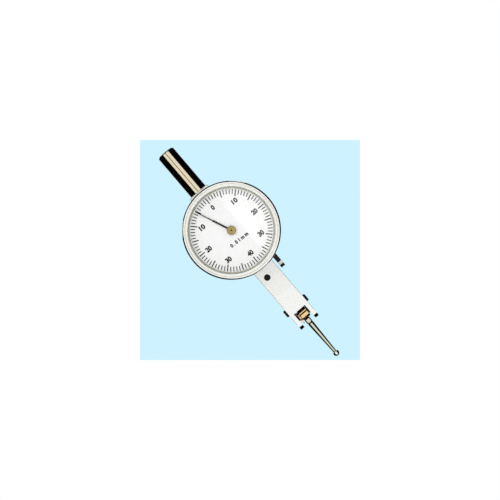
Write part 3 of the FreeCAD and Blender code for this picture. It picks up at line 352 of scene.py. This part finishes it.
number_work = bmesh.new()
for count in range(NUMBERS):
    number = str(min(count, NUMBERS - count) * NUMBER_STEP)
    angle = 2 * math.pi * count / NUMBERS
    spot = (NUMBER_SPOT * math.sin(angle), NUMBER_SPOT * math.cos(angle))
    width = ZERO_WIDTH if number == "0" else PAIR_WIDTH
    print_words(number_work, number, spot, NUMBER_HEIGHT, width, NUMBER_WEIGHT)
print_words(number_work, "0.01mm", (0, UNIT_SPOT), UNIT_HEIGHT, UNIT_WIDTH, UNIT_WEIGHT, UNIT_GAP)
bmesh.ops.transform(number_work, matrix=dial_plane, verts=number_work.verts)
dial_numbers = mesh_piece("dial_numbers", number_work, ink)
for piece in (dial_scale, dial_numbers):
    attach(piece, "bezel")

# --- Pointer ---
# Thin steel needle in black lacquer on a turned brass hub, pressed on the centre arbor. The hub is
# yellow and bright, with rings from the tool.


def from_axis(material, place):
    """The distance of the place on the piece from the dial's axis, in metres."""
    flat_place = stretch(material, place, (1.0, 0.0, 1.0))
    return add(material, "VectorMath", {"operation": "DISTANCE"}, {
        0: flat_place, 1: (0, 0, DIAL_CENTRE.z)}).outputs["Value"]


black_lacquer, needle_shader, needle_place = start_finish("black lacquer", 0.0)
shade(black_lacquer, needle_shader, needle_place, grain_mm=0.2, colours=("060606", "0E0E0E"),
      roughness=(0.3, 0.4), depth_mm=0.001)
needle_shader.inputs["Specular IOR Level"].default_value = 0.2
wear(black_lacquer, "pointer")
hub_brass, hub_shader, hub_place = start_finish("turned brass", 1.0)
shade(hub_brass, hub_shader, from_axis(hub_brass, hub_place), grain_mm=0.35, colours=("B4954F", "F8E3A4"),
      roughness=(0.2, 0.3), depth_mm=0.004)
wear(hub_brass, "pointer_hub")

# --- Bezel, window and inner ring ---
# The bezel is turned from brass, milled round its edge and chrome plated, bright on its corner and
# pearly on its land and edge. In it sit a clear acrylic window, which shows only faint reflections, and
# the cone that spaces it from the dial, in satin grey lacquer.

PEARL = 0.25                # metallic share of the land and the edge
LAND_MIDDLE = 14.2          # millimetres from the axis
LAND_HALF = 0.8
EDGE_MIDDLE = -5.3          # millimetres in depth
EDGE_HALF = 2.3

bright_chrome, bright_shader, bright_place = start_finish("bright chrome plate", 1.0)
shade(bright_chrome, bright_shader, bright_place, grain_mm=0.4, colours=("ECEDE7", "F6F7F1"),
      roughness=(0.05, 0.09), depth_mm=0.0005)
on_land = within(bright_chrome, from_axis(bright_chrome, bright_place), LAND_MIDDLE, LAND_HALF)
on_edge = within(bright_chrome, along(bright_chrome, bright_place, "Y"), EDGE_MIDDLE, EDGE_HALF)
pearl = add(bright_chrome, "Math", {"operation": "MAXIMUM"}, {0: on_land, 1: on_edge}).outputs["Value"]
recolour(bright_chrome, bright_shader, pearl, "F6F6F0")
part_metal(bright_chrome, bright_shader, pearl, PEARL)
wear(bright_chrome, "bezel")
cone_grey, cone_shader, cone_place = start_finish("satin grey lacquer", 0.0)
shade(cone_grey, cone_shader, cone_place, grain_mm=0.25, colours=("A3A193", "B2B0A3"),
      roughness=(0.4, 0.5), depth_mm=0.001)
wear(cone_grey, "spacer_ring")

acrylic, acrylic_shader = start_finish("clear acrylic", 0.0)[:2]
acrylic_shader.inputs["Roughness"].default_value = 0.02
acrylic_shader.inputs["Base Color"].default_value = linear("FFFFFF")
acrylic_shader.inputs["Transmission Weight"].default_value = 1.0
acrylic_shader.inputs["IOR"].default_value = 1.49
acrylic_shader.inputs["Specular IOR Level"].default_value = 0.1
light_path = add(acrylic, "LightPath", {}, {})
seen = add(acrylic, "Math", {"operation": "MAXIMUM"}, {
    0: light_path.outputs["Is Camera Ray"], 1: light_path.outputs["Is Transmission Ray"]})
acrylic.node_tree.links.new(seen.outputs["Value"], acrylic_shader.inputs["Alpha"])
wear(acrylic, "crystal")

# --- Changeover lever ---
# Finger lever on the right cheek that sets which way the stylus measures. Blackened steel, with a painted
# highlight: a band of bright metal across it.

HIGHLIGHT_HEIGHT = -33.9          # middle of the painted highlight, in millimetres
HIGHLIGHT_HALF = 0.5

highlit_oxide, highlit_shader, highlit_place = start_finish("rubbed black oxide", 0.0)
shade(highlit_oxide, highlit_shader, highlit_place, **OXIDE)
highlit_shader.inputs["Specular IOR Level"].default_value = OXIDE_GLOSS
# Painted highlight: a band of the black lever is coloured as bright metal.
highlit = within(highlit_oxide, along(highlit_oxide, highlit_place, "Z"), HIGHLIGHT_HEIGHT, HIGHLIGHT_HALF)
recolour(highlit_oxide, highlit_shader, highlit, "DADAD4")
part_metal(highlit_oxide, highlit_shader, highlit, 1.0)
wear(highlit_oxide, "changeover_lever")
wear(black_oxide, "changeover_screw")

# --- Front screw ---
# Round-headed black screw in the bar's front face, which holds the lever stop inside.

wear(black_oxide, "front_screw")

# --- Studio ---
# White room with a pale blue card behind the instrument and a pale floor well below it. Black cloth to
# the sides, above and below, and the camera's own black column show only in the metal and the window.

FIELD = 157.9 * MM          # width of what the camera sees at the object
LENS = 100.0                # lens and sensor in millimetres
SENSOR = 36.0
AIM = (0.4, 0, 1.35)        # where the camera looks, from the middle of the object, in millimetres
STEM_LEAN = 40.5            # degrees that the stem leans to the left, as the camera sees it
TENT_RADIUS = 1.2
TENT_SEGMENTS = 72
TENT_RINGS = 36
OPEN_HALF = 38              # degrees to each side of the camera that the cloth leaves open
OPEN_LOW = -70              # degrees of height between which it does
OPEN_HIGH = 55
BACK_HALF = 20              # the smaller opening behind, to each side of its middle
BACK_HEIGHT = 25
COLUMN_WIDTH = 60 * MM
COLUMN_SHIFT = -24 * MM     # to the left of the object's middle
COLUMN_FOOT = -24 * MM      # from the height of the object's middle
COLUMN_TOP = 225 * MM
CARD_SIZE = 69.5 * MM       # as wide as that at the object, so larger where it stands
CARD_BEHIND = 0.5
GRID_CELLS = 8
FLOOR_DROP = 0.11
FLOOR_BEHIND = 0.12
FLOOR_SIZE = 3.0
LAMPS = ((-125, 0.5), (125, 0.5), (-30, 0.75))      # degrees round from the camera, and watts
LAMP_SIZE = 0.3
LAMP_REACH = 0.7
LAMP_RISE = 0.55

low, high = cad_box
centre = (low + high) / 2
aim = centre + Vector(AIM) * MM
half_field = math.atan(SENSOR / 2 / LENS)
distance = FIELD / 2 / math.tan(half_field)
camera_data = bpy.data.cameras.new("camera")
camera_data.lens = LENS
camera_data.sensor_width = SENSOR
camera_data.clip_start = 0.01
camera_data.clip_end = 20
camera = bpy.data.objects.new("camera", camera_data)
camera.location = aim - Vector((0, distance, 0))
camera.rotation_euler = (math.pi / 2, math.radians(STEM_LEAN), 0)
bpy.context.scene.collection.objects.link(camera)
bpy.context.scene.camera = camera
bpy.context.scene.view_settings.view_transform = "Standard"

black_cloth, cloth_shader, cloth_place = start_finish("black cloth", 0.0)
shade(black_cloth, cloth_shader, cloth_place, grain_mm=20.0, colours=("000000", "040404"),
      roughness=(0.9, 1.0), depth_mm=0.1)
cloth_shader.inputs["Specular IOR Level"].default_value = 0.0
cloth_work = bmesh.new()
bmesh.ops.create_uvsphere(cloth_work, u_segments=TENT_SEGMENTS, v_segments=TENT_RINGS, radius=TENT_RADIUS)
openings = []
for face in cloth_work.faces:
    middle = face.calc_center_median()
    bearing = abs(math.degrees(math.atan2(middle.x, -middle.y)))
    height = math.degrees(math.asin(middle.z / middle.length))
    in_front = bearing < OPEN_HALF and OPEN_LOW < height < OPEN_HIGH
    behind = bearing > 180 - BACK_HALF and abs(height) < BACK_HEIGHT
    if in_front or behind:
        openings.append(face)
bmesh.ops.delete(cloth_work, geom=openings, context="FACES")
bmesh.ops.translate(cloth_work, vec=centre, verts=cloth_work.verts)
cloth = mesh_piece("cloth", cloth_work, black_cloth)
column_work = bmesh.new()
bmesh.ops.create_grid(column_work, x_segments=GRID_CELLS, y_segments=GRID_CELLS, size=0.5)
column_size = Matrix.Diagonal((COLUMN_WIDTH, COLUMN_TOP - COLUMN_FOOT, 1, 1))
column_middle = Vector((COLUMN_SHIFT, -distance, (COLUMN_TOP + COLUMN_FOOT) / 2))
column_place = Matrix.Translation(centre + column_middle) @ Matrix.Rotation(math.pi / 2, 4, "X")
bmesh.ops.transform(column_work, matrix=column_place @ column_size, verts=column_work.verts)
column = mesh_piece("column", column_work, black_cloth)
for unseen in (cloth, column):
    unseen.visible_camera = False
    unseen.visible_diffuse = False
    unseen.visible_shadow = False
    unseen.visible_transmission = False

card_paper, card_shader = start_finish("pale blue card", 0.0)[:2]
card_shader.inputs["Base Color"].default_value = linear("000000")
card_shader.inputs["Specular IOR Level"].default_value = 0.0
card_shader.inputs["Emission Color"].default_value = linear("CEF2FF")
card_shader.inputs["Emission Strength"].default_value = 1.0
card_work = bmesh.new()
card_half = CARD_SIZE / 2 * (distance + CARD_BEHIND) / distance
bmesh.ops.create_grid(card_work, x_segments=GRID_CELLS, y_segments=GRID_CELLS, size=card_half)
card_place = (Matrix.Translation(aim + Vector((0, CARD_BEHIND, 0)))
              @ Matrix.Rotation(math.radians(STEM_LEAN), 4, "Y") @ Matrix.Rotation(math.pi / 2, 4, "X"))
bmesh.ops.transform(card_work, matrix=card_place, verts=card_work.verts)
card = mesh_piece("card", card_work, card_paper)

floor_paint, floor_shader, floor_place = start_finish("pale floor", 0.0)
shade(floor_paint, floor_shader, floor_place, grain_mm=2.0, colours=("F4F6F6", "F8FAFA"),
      roughness=(0.55, 0.65), depth_mm=0.01)
floor_work = bmesh.new()
bmesh.ops.create_grid(floor_work, x_segments=GRID_CELLS, y_segments=GRID_CELLS, size=FLOOR_SIZE / 2)
floor_middle = (0, FLOOR_BEHIND - FLOOR_SIZE / 2, low.z - FLOOR_DROP)
bmesh.ops.translate(floor_work, vec=floor_middle, verts=floor_work.verts)
floor = mesh_piece("floor", floor_work, floor_paint)
floor.visible_glossy = False

world = bpy.data.worlds.new("white room")
bpy.context.scene.world = world
world.use_nodes = True
room = world.node_tree.nodes["Background"]
room.inputs["Color"].default_value = linear("FFFFFF")
room.inputs["Strength"].default_value = 1.0

for bearing, energy in LAMPS:
    side = math.radians(bearing)
    lamp_data = bpy.data.lights.new("side_lamp", "AREA")
    lamp_data.shape = "DISK"
    lamp_data.size = LAMP_SIZE
    lamp_data.energy = energy
    lamp = bpy.data.objects.new("side_lamp", lamp_data)
    lamp.location = centre + Vector((LAMP_REACH * math.sin(side), -LAMP_REACH * math.cos(side), LAMP_RISE))
    lamp.rotation_euler = (centre - lamp.location).to_track_quat("-Z", "Y").to_euler()
    lamp.visible_camera = False
    lamp.visible_glossy = abs(bearing) > 90     # metal mirrors only the two lamps behind
    bpy.context.scene.collection.objects.link(lamp)
